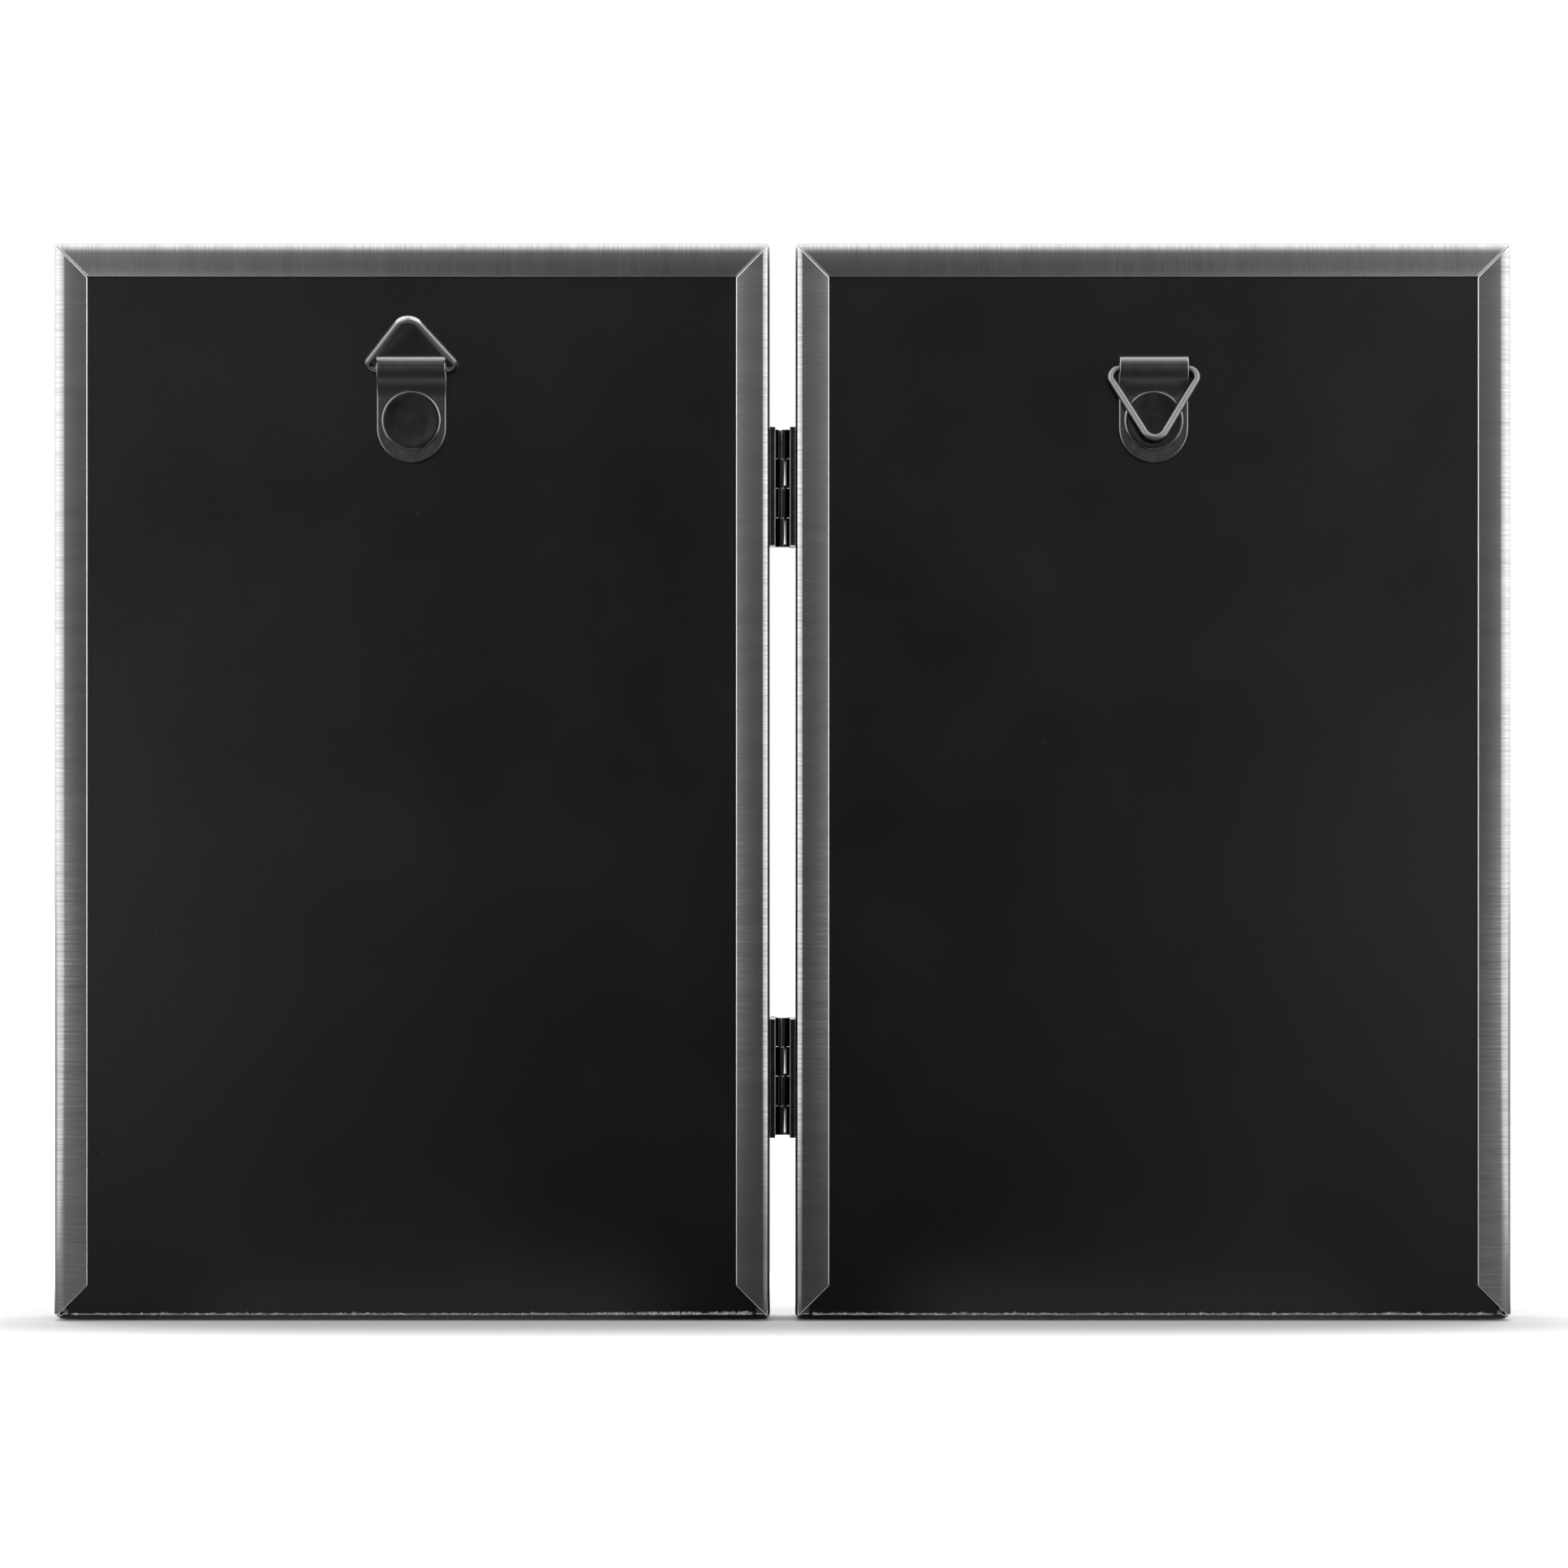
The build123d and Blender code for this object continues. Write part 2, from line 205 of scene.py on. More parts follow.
def feed(tree, node, inputs):
    """Gives a node its inputs by name or number: a socket is linked, a number or colour is set."""
    for key, value in inputs.items():
        if isinstance(value, bpy.types.NodeSocket):
            tree.links.new(value, node.inputs[key])
        else:
            node.inputs[key].default_value = value


def shader(tree, kind, inputs=None, **settings):
    """A new shader node with its settings and inputs."""
    made = tree.nodes.new("ShaderNode" + kind)
    for key, value in settings.items():
        setattr(made, key, value)
    feed(tree, made, inputs or {})
    return made


def calc(tree, operation, *values):
    """The result of an operation on one or two values."""
    return shader(tree, "Math", dict(enumerate(values)), operation=operation).outputs[0]


def span(tree, value, low, high, start=0, end=1, easing="LINEAR"):
    """A value carried over from the range low to high to the range start to end, and held there."""
    inputs = {"Value": value, "From Min": low, "From Max": high, "To Min": start, "To Max": end}
    return shader(tree, "MapRange", inputs, interpolation_type=easing).outputs[0]


def mix(tree, factor, start, end):
    """A value between two values."""
    return shader(tree, "Mix", {"Factor": factor, 2: start, 3: end}).outputs[0]


def mix_greys(tree, factor, start, end):
    """A colour between two, each given as a grey's number or as a socket."""
    start, end = (grey(level) if isinstance(level, float) else level for level in (start, end))
    return shader(tree, "Mix", {"Factor": factor, 6: start, 7: end}, data_type="RGBA").outputs[2]


def noise(tree, place, scale, detail, **more):
    """Noise at a place, between 0 and 1."""
    inputs = {"Vector": place, "Scale": scale, "Detail": detail, **more}
    return shader(tree, "TexNoise", inputs).outputs["Fac"]


def relief(tree, height, strength, distance):
    """The normals of a fine relief."""
    inputs = {"Height": height, "Strength": strength, "Distance": distance}
    return shader(tree, "Bump", inputs).outputs[0]


def grey(value):
    """A neutral colour, as linear light."""
    return (value, value, value, 1)


def new_finish(name):
    """An empty material, its node tree and its Principled shader."""
    finish = bpy.data.materials.new(name)
    finish.use_nodes = True
    return finish, finish.node_tree, finish.node_tree.nodes["Principled BSDF"]


def new_group(name, inputs, outputs):
    """An empty node group with named inputs, given as name: (kind, value), and named float outputs."""
    tree = bpy.data.node_groups.new(name, "ShaderNodeTree")
    for label, (kind, value) in inputs.items():
        socket = tree.interface.new_socket(label, in_out="INPUT", socket_type="NodeSocket" + kind)
        if kind == "Float":
            socket.default_value = value
    for label in outputs:
        tree.interface.new_socket(label, in_out="OUTPUT", socket_type="NodeSocketFloat")
    return tree, tree.nodes.new("NodeGroupInput").outputs, tree.nodes.new("NodeGroupOutput").inputs


def place_group(tree, group, inputs):
    """The outputs of a node group that stands in a material."""
    return shader(tree, "Group", inputs, node_tree=group).outputs


def brushed_grain_group():
    """Brush marks: noise stretched along the first length and squeezed along the second, once fine and
    once coarse. Lines is the fine part, Bands the coarse part."""
    tree, given, result = new_group(
        "brushed_grain",
        {"Place": ("Vector", None), "Run": ("Float", 1.0), "Pitch": ("Float", 1.0)},
        ("Lines", "Bands"),
    )
    parts = shader(tree, "SeparateXYZ", {0: given["Place"]}).outputs
    for label, factor, detail in (("Lines", 1, 3), ("Bands", 9, 2)):
        run = calc(tree, "MULTIPLY", given["Run"], factor ** 0.5)
        pitch = calc(tree, "MULTIPLY", given["Pitch"], factor)
        across = calc(tree, "DIVIDE", parts["X"], run)
        along = calc(tree, "DIVIDE", parts["Y"], pitch)
        place = shader(tree, "CombineXYZ", {"X": across, "Y": along, "Z": factor}).outputs[0]
        marks = noise(tree, place, scale=1, detail=detail, Roughness=0.6)
        tree.links.new(span(tree, marks, 0.3, 0.7), result[label])
    return tree


brushed_grain = brushed_grain_group()


def brushed_finish(name, dark, light, rough, run, pitch, strength):
    """Brushed metal: the marks shift the colour between two greys, the roughness about its middle, and
    lift the surface a little."""
    finish, tree, skin = new_finish(name)
    lengths = shader(tree, "UVMap", uv_map="metres").outputs[0]
    marks = place_group(tree, brushed_grain, {"Place": lengths, "Run": run, "Pitch": pitch})
    tone = mix(tree, 0.3, marks["Lines"], marks["Bands"])
    feed(tree, skin, {
        "Base Color": mix_greys(tree, tone, dark, light),
        "Roughness": span(tree, marks["Lines"], 0, 1, rough + grain_gloss, rough - grain_gloss),
        "Normal": relief(tree, marks["Lines"], strength, grain_depth),
        "Metallic": 1,
    })
    return finish


brushed_rail = brushed_finish(
    "brushed_rail", dark=0.21, light=0.39, rough=0.16, run=9 * mm, pitch=0.4 * mm, strength=0.06
)
# Sheared edges: a lighter steel colour, partly the bare cut and partly a painted highlight along the edges.
cut_steel_and_highlight = brushed_finish(
    "cut_steel_and_highlight", dark=0.40, light=0.54, rough=0.34, run=0.5 * mm, pitch=0.6 * mm, strength=0.05
)

panel_low, panel_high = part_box("left_outer_stile")
front = panel_low.y
panel_depth = panel_high.y - panel_low.y
panel_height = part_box("left_top_rail")[1].z
panel_outer = -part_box("left_outer_stile")[0].x
panel_inner = -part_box("left_hinge_stile")[1].x
panel_width = panel_outer - panel_inner
panel_middle = (panel_outer + panel_inner) / 2
low_bar_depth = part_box("left_bottom_rail")[1].y - front


def bar_line(depth, hem_bend, hem):
    """The middle line of a bar's section, from the lip's edge to the hem's. The first number is the
    distance in from the panel's outer face, the second the depth from its front face."""
    corners = [
        (border - lip_width, lip_depth),
        (border - sheet_half, lip_depth),
        (border - sheet_half, sheet_half),
        (sheet_half, sheet_half),
        (sheet_half, depth - sheet_half),
        (hem, depth - sheet_half),
    ]
    radii = [lip_bend, lip_bend, face_bend, hem_bend]
    plain = rounded_line(corners, radii)
    end = plain[2][-1]
    near = edge_stations(shear_round)
    step_at = np.interp(low_bar_depth, plain[0][:, 1][plain[2] > end / 2], plain[2][plain[2] > end / 2])
    step = 0.02 * mm
    extra = np.concatenate([near, end - near, [guard, end - guard], [step_at - step, step_at + step]])
    return rounded_line(corners, radii, extra)


def folded_bar(name, line, half_length, open_foot, rounds, origin, inward, lengthwise, shift):
    """One mitred bar. Across the section stands the length: it ends at the mitre, half the bar's length
    less the setback less the distance inwards. At an open foot the hem's tip is blunt, and its slant
    starts a little higher. At the panel's corners each square shell of the section is drawn in to a
    circle. The shift moves the brush marks along, so that no two bars have the same ones."""

    def reach(section, end):
        inwards, depth = section[..., 0], section[..., 1]
        tip = (depth > low_bar_depth) & (end < 0) & open_foot
        slant = np.maximum(inwards + hem_tip_slant_lift, hem_tip_lift)
        return half_length - np.where(tip, slant, inwards + mitre_setback)

    section, across, along = sheet_grid(line, sheet, shear_round, reach, bar_columns)
    inwards, depth = section[..., 0], section[..., 1]
    radius = np.where(across < 0, rounds[0], rounds[1])
    from_face = np.clip(radius - inwards, 0, None)
    from_end = np.clip(radius - half_length + np.abs(across), 0, None)
    shell = np.maximum(from_face, from_end)
    round_distance = np.hypot(from_face, from_end)
    shrink = np.where(round_distance > 0, shell / np.maximum(round_distance, 1e-12), 1)
    corner = (from_face > 0) & (from_end > 0)
    inwards = np.where(corner, radius - from_face * shrink, inwards)
    across = np.where(corner, np.sign(across) * (half_length - radius + from_end * shrink), across)
    points = origin + inwards[..., None] * inward + depth[..., None] * back + across[..., None] * lengthwise
    uv = np.stack([along, across + shift], axis=-1)
    faces, sheared = sheet_faces(len(line[2]), points.shape[2])
    return add_piece(name, points, faces, [brushed_rail, cut_steel_and_highlight], marks=sheared, uv=uv)


top_line = bar_line(panel_depth, face_bend, hem_width)
outer_line = bar_line(panel_depth, outer_fold_bend, hem_width)
inner_line = bar_line(panel_depth, inner_fold_bend, hem_width)
low_line = bar_line(low_bar_depth, low_hem_bend, low_hem_width)
tops = (top_corner_round, top_corner_round)
lows = (low_corner_round, low_corner_round)
uprights = (low_corner_round, top_corner_round)
for panel, side in panel_sides.items():
    centre = side * panel_middle
    floor_line = np.array([centre, front, 0])
    half_height = panel_height / 2
    outer_edge = np.array([side * panel_outer, front, half_height])
    inner_edge = np.array([side * panel_inner, front, half_height])
    outwards = side * right
    bars = {
        "top_rail": (top_line, panel_width / 2, False, tops, floor_line + panel_height * up, -up, right),
        "bottom_rail": (low_line, panel_width / 2, False, lows, floor_line, up, right),
        "outer_stile": (outer_line, half_height, True, uprights, outer_edge, -outwards, up),
        "hinge_stile": (inner_line, half_height, True, uprights, inner_edge, outwards, up),
    }
    for count, (bar, shape) in enumerate(bars.items()):
        node = f"{panel}_{bar}"
        piece = folded_bar(f"{node}_bar", *shape, count + 5 * side)
        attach(piece, f"{panel}_panel")
        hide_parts(node)


# Corner braces
# Inside each corner a short steel strip, bent square, lies against both walls and keeps the mitre closed.
# It is plain rolled steel and is hidden behind the board, so the CAD pieces stay.
def object_place(tree):
    """The place on the finished object, in metres."""
    return shader(tree, "TexCoord").outputs["Object"]


def rolled_steel_finish():
    """Plain rolled steel: long soft marks and faint blotches in the colour and the roughness."""
    finish, tree, skin = new_finish("brace_steel")
    spot = object_place(tree)
    marks = place_group(tree, brushed_grain, {"Place": spot, "Run": 6 * mm, "Pitch": 0.5 * mm})
    blotch = noise(tree, spot, scale=400, detail=3)
    tone = mix(tree, 0.4, marks["Lines"], blotch)
    feed(tree, skin, {
        "Base Color": mix_greys(tree, tone, 0.30, 0.42),
        "Roughness": span(tree, blotch, 0, 1, 0.35, 0.55),
        "Metallic": 1,
    })
    return finish


def refinish(node, finish):
    """A CAD node keeps its mesh and takes a new finish."""
    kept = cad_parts[node]
    kept.data.materials.clear()
    kept.data.materials.append(finish)


brace_steel = rolled_steel_finish()
for panel in panel_sides:
    refinish(f"{panel}_corner_braces", brace_steel)


# Glass
# A cut pane of clear glass with its edges ground to a narrow bevel. It lies behind the lip, and it has
# faint wiping marks that only show in a reflection.
glass_bevel = 0.3 * mm
bevel_from = np.radians(30)
flat_within = np.radians(1)
copy_merge = 0.002 * mm


def rounded_copy(name, node, radius, finish, rim=None):
    """A CAD node's shape as a piece of its own: its loose triangles are joined, flat ones are merged, and
    a live bevel rounds the sharp edges. The rounded edges may have a finish of their own."""
    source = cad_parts[node].data
    flat = np.zeros(len(source.vertices) * 3, np.float32)
    source.vertices.foreach_get("co", flat)
    mesh = bpy.data.meshes.new(name)
    corners = [list(face.vertices) for face in source.polygons]
    mesh.from_pydata(flat.reshape(-1, 3).tolist(), [], corners)
    work = bmesh.new()
    work.from_mesh(mesh)
    bmesh.ops.remove_doubles(work, verts=work.verts, dist=copy_merge)
    bmesh.ops.dissolve_limit(work, angle_limit=flat_within, verts=work.verts, edges=work.edges)
    work.to_mesh(mesh)
    work.free()
    mesh.materials.append(finish)
    mesh.shade_smooth()
    mesh.set_sharp_from_angle(angle=bevel_from)
    piece = bpy.data.objects.new(name, mesh)
    bpy.context.scene.collection.objects.link(piece)
    bevel = piece.modifiers.new("edges", "BEVEL")
    bevel.width = radius
    bevel.segments = 3
    bevel.limit_method = "ANGLE"
    bevel.angle_limit = bevel_from
    bevel.use_clamp_overlap = False
    bevel.harden_normals = True
    if rim is not None:
        mesh.materials.append(rim)
        bevel.material = 1
    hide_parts(node)
    return piece


def glass_finish():
    """Clear glass. Wiping marks change its roughness slightly. Light that falls through it to what lies
    behind passes straight."""
    finish, tree, skin = new_finish("clear_glass")
    turn = {"Vector": object_place(tree), "Rotation": (0, 0.5, 0), "Scale": (30, 30, 160)}
    slanted = shader(tree, "Mapping", turn).outputs[0]
    wiping = noise(tree, slanted, scale=1, detail=4, Distortion=0.6)
    feed(tree, skin, {
        "Roughness": span(tree, wiping, 0.45, 0.8, 0, 0.09),
        "Base Color": (0.965, 0.985, 0.975, 1),
        "Transmission Weight": 1,
        "IOR": 1.5,
    })
    path = shader(tree, "LightPath").outputs
    passing = calc(tree, "MAXIMUM", path["Is Shadow Ray"], path["Is Diffuse Ray"])
    clear = shader(tree, "BsdfTransparent", {"Color": (0.93, 0.95, 0.94, 1)}).outputs[0]
    mixed = shader(tree, "MixShader", {0: passing, 1: skin.outputs[0], 2: clear}).outputs[0]
    tree.links.new(mixed, tree.nodes["Material Output"].inputs["Surface"])
    return finish


clear_glass = glass_finish()
for panel in panel_sides:
    pane = rounded_copy(f"{panel}_glass_pane", f"{panel}_glass", glass_bevel, clear_glass)
    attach(pane, f"{panel}_panel")


# Photo inserts
# Satin photo paper with a white margin. The photograph shows only the back of the frame, so the print is a
# plain made-up one: grey ridges of hills in haze under an even sky.
print_margin = 4.0 * mm
print_half_width = 51.0 * mm
print_half_height = 76.0 * mm
bare_paper = 0.82
sky_range = (50 * mm, 160 * mm)
sky_tones = (0.62, 0.36)
ridge_blur = 0.4 * mm
paper_tooth = 0.02 * mm
ridges = (
    (102 * mm, 18 * mm, 22, 0.42),
    (85 * mm, 16 * mm, 31, 0.27),
    (66 * mm, 14 * mm, 40, 0.15),
    (45 * mm, 10 * mm, 55, 0.06),
)


def print_finish():
    """The print: each ridge is the ground below a line of noise across the picture, and farther ridges are
    paler. Outside the printed field the paper is bare."""
    finish, tree, skin = new_finish("print_paper")
    spot = object_place(tree)
    parts = shader(tree, "SeparateXYZ", {0: spot}).outputs
    tone = span(tree, parts["Z"], *sky_range, *sky_tones)
    for index, (height, rise, scale, shade) in enumerate(ridges):
        across = shader(tree, "CombineXYZ", {"X": parts["X"], "Y": 0.3 * index, "Z": 0.0}).outputs[0]
        line = noise(tree, across, scale, detail=5)
        crest = span(tree, line, 0.3, 0.7, height - rise, height + rise)
        gap = calc(tree, "SUBTRACT", crest, parts["Z"])
        tone = mix(tree, span(tree, gap, 0, ridge_blur), tone, shade)
    aside = calc(tree, "ABSOLUTE", parts["X"])
    width = calc(tree, "ABSOLUTE", calc(tree, "SUBTRACT", aside, panel_middle))
    height = calc(tree, "ABSOLUTE", calc(tree, "SUBTRACT", parts["Z"], panel_height / 2))
    in_width = calc(tree, "LESS_THAN", width, print_half_width - print_margin)
    in_height = calc(tree, "LESS_THAN", height, print_half_height - print_margin)
    inked = mix(tree, calc(tree, "MULTIPLY", in_width, in_height), bare_paper, tone)
    tooth = noise(tree, spot, scale=3000, detail=2)
    feed(tree, skin, {
        "Base Color": shader(tree, "CombineColor", {0: inked, 1: inked, 2: inked}).outputs[0],
        "Roughness": span(tree, tooth, 0, 1, 0.32, 0.5),
        "Normal": relief(tree, tooth, 0.15, paper_tooth),
    })
    return finish


print_paper = print_finish()
for panel in panel_sides:
    refinish(f"{panel}_photo_insert", print_paper)


# Filler cards
# A card of soft grey pasteboard fills the space between the print and the board. It lies loose, and the
# board behind it presses it and the print to the glass.
pulp_depth = 0.05 * mm


def pasteboard_group():
    """Flecked pulp: two noises of different grain. Fleck picks the paler shreds, Tooth is the relief."""
    tree, given, result = new_group("pasteboard", {"Place": ("Vector", None)}, ("Fleck", "Tooth"))
    shreds = noise(tree, given["Place"], scale=900, detail=6, Distortion=1.5)
    tree.links.new(span(tree, shreds, 0.42, 0.66), result["Fleck"])
    tree.links.new(noise(tree, given["Place"], scale=4000, detail=3), result["Tooth"])
    return tree


pasteboard = pasteboard_group()


def pulp_finish(name, dark, light):
    """Bare pasteboard between two greys, matt and slightly rough."""
    finish, tree, skin = new_finish(name)
    pulp = place_group(tree, pasteboard, {"Place": object_place(tree)})
    feed(tree, skin, {
        "Base Color": mix_greys(tree, pulp["Fleck"], dark, light),
        "Normal": relief(tree, pulp["Tooth"], 0.6, pulp_depth),
        "Roughness": 0.9,
    })
    return finish


grey_card = pulp_finish("grey_card", dark=0.22, light=0.34)
for panel in panel_sides:
    refinish(f"{panel}_filler_pad", grey_card)


# Backing boards
# Greyboard faced with satin black paper. It slides up from the open bottom of the panel, between the hems
# and the filler card, and carries the hanger.
board_round = 0.2 * mm
board_tooth = 0.03 * mm


def dust_group():
    """Dust and small nicks: dots in a few of the cells of a random pattern. Amount is the share of cells."""
    tree, given, result = new_group(
        "dust", {"Place": ("Vector", None), "Scale": ("Float", 200.0), "Amount": ("Float", 0.1)}, ("Mask",)
    )
    cells = shader(tree, "TexVoronoi", {"Vector": given["Place"], "Scale": given["Scale"]}).outputs
    draw = shader(tree, "SeparateColor", {0: cells["Color"]}).outputs
    near = span(tree, cells["Distance"], 0.06, 0.02)
    chosen = calc(tree, "LESS_THAN", draw["Red"], given["Amount"])
    mask = calc(tree, "MULTIPLY", calc(tree, "MULTIPLY", near, chosen), draw["Green"])
    tree.links.new(mask, result["Mask"])
    return tree


dust = dust_group()


def board_finish():
    """Black paper with a low sheen, a faint tooth, soft blotches of gloss, and a little pale dust."""
    finish, tree, skin = new_finish("black_board")
    spot = object_place(tree)
    specks = place_group(tree, dust, {"Place": spot, "Scale": 240.0, "Amount": 0.06})["Mask"]
    blotches = noise(tree, spot, scale=35, detail=5)
    tooth = noise(tree, spot, scale=2600, detail=3)
    feed(tree, skin, {
        "Base Color": mix_greys(tree, specks, 0.002, 0.10),
        "Roughness": span(tree, blotches, 0.3, 0.7, 0.17, 0.23),
        "Normal": relief(tree, tooth, 0.25, board_tooth),
        "Specular IOR Level": 0.4,
    })
    return finish


black_board = board_finish()
for panel in panel_sides:
    name = f"{panel}_backing_board"
    board = rounded_copy(name, f"{panel}_backboard", board_round, black_board)
    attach(board, f"{panel}_back")


# Torn lower edge of the boards
# Where the boards are cut and handled at the bottom, the black facing is chipped and the grey pulp of the
# core shows as a ragged line of fibres.
edge_inset = 0.6 * mm
edge_climb = 0.75 * mm
edge_columns = 1400
edge_rows = 9
edge_lift = 0.16 * mm
edge_sink = 0.03 * mm
under_share = 0.5
spread_share = 0.3
bare_blend = 0.3
split_length = 45 * mm


def grid_faces(rows, columns, start=0):
    """The faces of a grid of points that are numbered row by row."""
    index = start + np.arange(rows * columns).reshape(rows, columns)
    quads = np.stack([index[:-1, :-1], index[1:, :-1], index[1:, 1:], index[:-1, 1:]], axis=-1)
    return quads.reshape(-1, 4).tolist()


def ragged(rng, count, smooth):
    """A random line between 0 and 1: white noise averaged over a window, then stretched to the range."""
    raw = rng.random(count + smooth)
    line = np.convolve(raw, np.ones(smooth) / smooth, mode="same")[:count]
    return (line - line.min()) / np.ptp(line)


def torn_finish():
    """Pulp showing through black paper. The share of bare pulp at each point is kept in an attribute, and
    the flecks of the pulp break it up."""
    finish, tree, skin = new_finish("torn_pulp")
    pulp = place_group(tree, pasteboard, {"Place": object_place(tree)})
    bare = shader(tree, "Attribute", attribute_name="bare").outputs["Fac"]
    shown = calc(tree, "MULTIPLY", bare, span(tree, pulp["Fleck"], 0, 1, 0.5, 1))
    feed(tree, skin, {
        "Base Color": mix_greys(tree, shown, 0.006, 0.85),
        "Normal": relief(tree, pulp["Tooth"], 0.8, pulp_depth),
        "Roughness": 0.85,
    })
    return finish


def torn_edge(name, node, seed, finish, split):
    """A ragged skin over the board's lower rear edge. It runs down the rear face, round the edge and
    forward under the board. Random lines along the board set how far it stands out, how high it climbs
    and how much pulp is bare. It bulges rearwards on the upper half and downwards on the lower. A split
    edge shows more pulp towards -X."""
    low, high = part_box(node)
    rng = np.random.default_rng(seed)
    x = np.linspace(low.x + edge_inset, high.x - edge_inset, edge_columns)
    turn = np.linspace(0, 1, edge_rows)[:, None]
    stand = 0.35 * ragged(rng, edge_columns, smooth=23) + 0.65 * ragged(rng, edge_columns, smooth=5)
    opened = split * np.clip((low.x + split_length - x) / split_length, 0, 1) ** 0.7
    climb = edge_climb * (0.35 + 0.65 * np.maximum(ragged(rng, edge_columns, smooth=9), opened))
    jitter = rng.random((edge_rows, edge_columns))
    swell = np.sin(np.pi * turn) * (0.25 + 0.75 * jitter) * stand * edge_lift
    upper = np.clip(1 - 2 * turn, 0, 1)
    under = np.clip(2 * turn - 1, 0, 1)
    rearwards = np.where(turn <= 0.5, swell, swell * spread_share)
    downwards = np.where(turn >= 0.5, swell, swell * spread_share)
    y = high.y - edge_sink - under * (high.y - low.y) * under_share + rearwards
    z = low.z + edge_sink + upper * climb - downwards
    points = np.stack([np.broadcast_to(x, y.shape), y, z], axis=-1)
    piece = add_piece(name, points, grid_faces(edge_rows, edge_columns), [finish])
    shown = 0.26 + 0.74 * np.maximum(ragged(rng, edge_columns, smooth=7) ** 1.6, opened)
    bare = np.clip((2 * turn - 1 + shown) / bare_blend, 0, 1) * (0.45 + 0.55 * jitter)
    layer = piece.data.attributes.new("bare", "FLOAT", "POINT")
    layer.data.foreach_set("value", bare.astype(np.float32).reshape(-1))
    return piece


torn_pulp = torn_finish()
for seed, panel in enumerate(panel_sides):
    fibres = torn_edge(f"{panel}_board_torn_edge", f"{panel}_backboard", seed + 3, torn_pulp, seed)
    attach(fibres, f"{panel}_back")


# Strap hangers
# A strip of black-finished steel, folded double with an open loop at the top for the wire, and cut round at
# its lower end. The stamped edges are slightly rounded. A lighter steel colour on the stamped edges and in a
# band along the top of the loop is a painted highlight.
strap_sheet = 0.7 * mm
strap_gap = 0.05 * mm
strap_loop = 3.4 * mm
strap_front_drop = 2.9 * mm
strap_foot_drop = 5.4 * mm
strap_crown = 1.296 * mm
strap_bend = 3.3 * mm
strap_foot_bend = 5.2 * mm
strap_highlight_height = 1.15 * mm
strap_edge = 0.15 * mm
strap_tip = 0.3 * mm
strap_columns = 28
# Lighter steel colour, both for real nicks and for painted highlights.
nick_and_highlight_steel = 0.27
mottle_depth = 0.03 * mm


def black_metal_finish(name, dark, light, rough):
    """Thin black finish on steel: faint mottling of colour and gloss, and small nicks where steel shows.
    The same lighter steel colour paints a highlight where a point attribute marks it."""
    finish, tree, skin = new_finish(name)
    spot = object_place(tree)
    mottle = noise(tree, spot, scale=700, detail=5)
    nicks = place_group(tree, dust, {"Place": spot, "Scale": 900.0, "Amount": 0.12})["Mask"]
    painted_highlight = shader(tree, "Attribute", attribute_name="painted_highlight").outputs["Fac"]
    nicks_and_highlight = calc(tree, "MAXIMUM", nicks, painted_highlight)
    feed(tree, skin, {
        # Steel colour shows at the real nicks and, where the attribute is set, as a painted highlight.
        "Base Color": mix_greys(tree, nicks_and_highlight, mix_greys(tree, mottle, dark, light), nick_and_highlight_steel),
        "Roughness": span(tree, mottle, 0, 1, rough - 0.06, rough + 0.08),
        "Normal": relief(tree, mottle, 0.12, mottle_depth),
        "Metallic": 1,
    })
    return finish


black_steel = black_metal_finish("black_steel", dark=0.08, light=0.105, rough=0.19)
# Painted highlight: a lighter copy of the black steel for the strap's stamped edges, standing in for their
# reflections.
strap_edge_highlight = black_metal_finish("strap_edge_highlight", dark=0.16, light=0.24, rough=0.26)


def add_painted_highlight(piece, painted_highlight):
    """How strongly a highlight is painted in, as lighter steel colour, at each point of a piece."""
    layer = piece.data.attributes.new("painted_highlight", "FLOAT", "POINT")
    layer.data.foreach_set("value", painted_highlight.astype(np.float32))


def hanger_strap(name, node):
    """The strap. Its line runs up behind, over the loop and down in front, in depth and height. The reach
    across is half the width, and at the round end the half chord of the circle at that height."""
    low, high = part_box(node)
    half_width = (high.x - low.x) / 2
    middle = (high.x + low.x) / 2
    half = strap_sheet / 2
    rear, front_leg = low.y + half, low.y + strap_loop - half
    flat = low.y + strap_sheet + strap_gap + half
    corners = [
        (rear, low.z), (rear, high.z - half), (front_leg, high.z - half),
        (front_leg, high.z - strap_front_drop), (flat, high.z - strap_foot_drop), (flat, low.z),
    ]
    radii = [strap_crown, strap_crown, strap_bend, strap_foot_bend]
    end = rounded_line(corners, radii)[2][-1]
    swing = half_width * (1 - np.cos(np.radians(np.arange(5, 91, 5))))
    near = np.concatenate([edge_stations(strap_edge), swing])
    line = rounded_line(corners, radii, np.concatenate([near, end - near]))

    def reach(section, end_side):
        below = np.clip(low.z + half_width - section[..., 1], 0, half_width)
        return np.sqrt(np.maximum(half_width ** 2 - below ** 2, strap_tip ** 2)) + 0 * end_side

    section, across = sheet_grid(line, strap_sheet, strap_edge, reach, strap_columns)[:2]
    points = np.stack([middle + across, section[..., 0], section[..., 1]], axis=-1)
    faces, sheared = sheet_faces(len(line[2]), points.shape[2])
    piece = add_piece(name, points, faces, [black_steel, strap_edge_highlight], marks=sheared)
    height = np.array([vertex.co.z for vertex in piece.data.vertices])
    # Painted highlight: a band of lighter steel colour along the top of the loop, where the light from above
    # falls.
    add_painted_highlight(piece, np.clip(1 - (high.z - height) / strap_highlight_height, 0, 1) ** 0.7)
    return piece


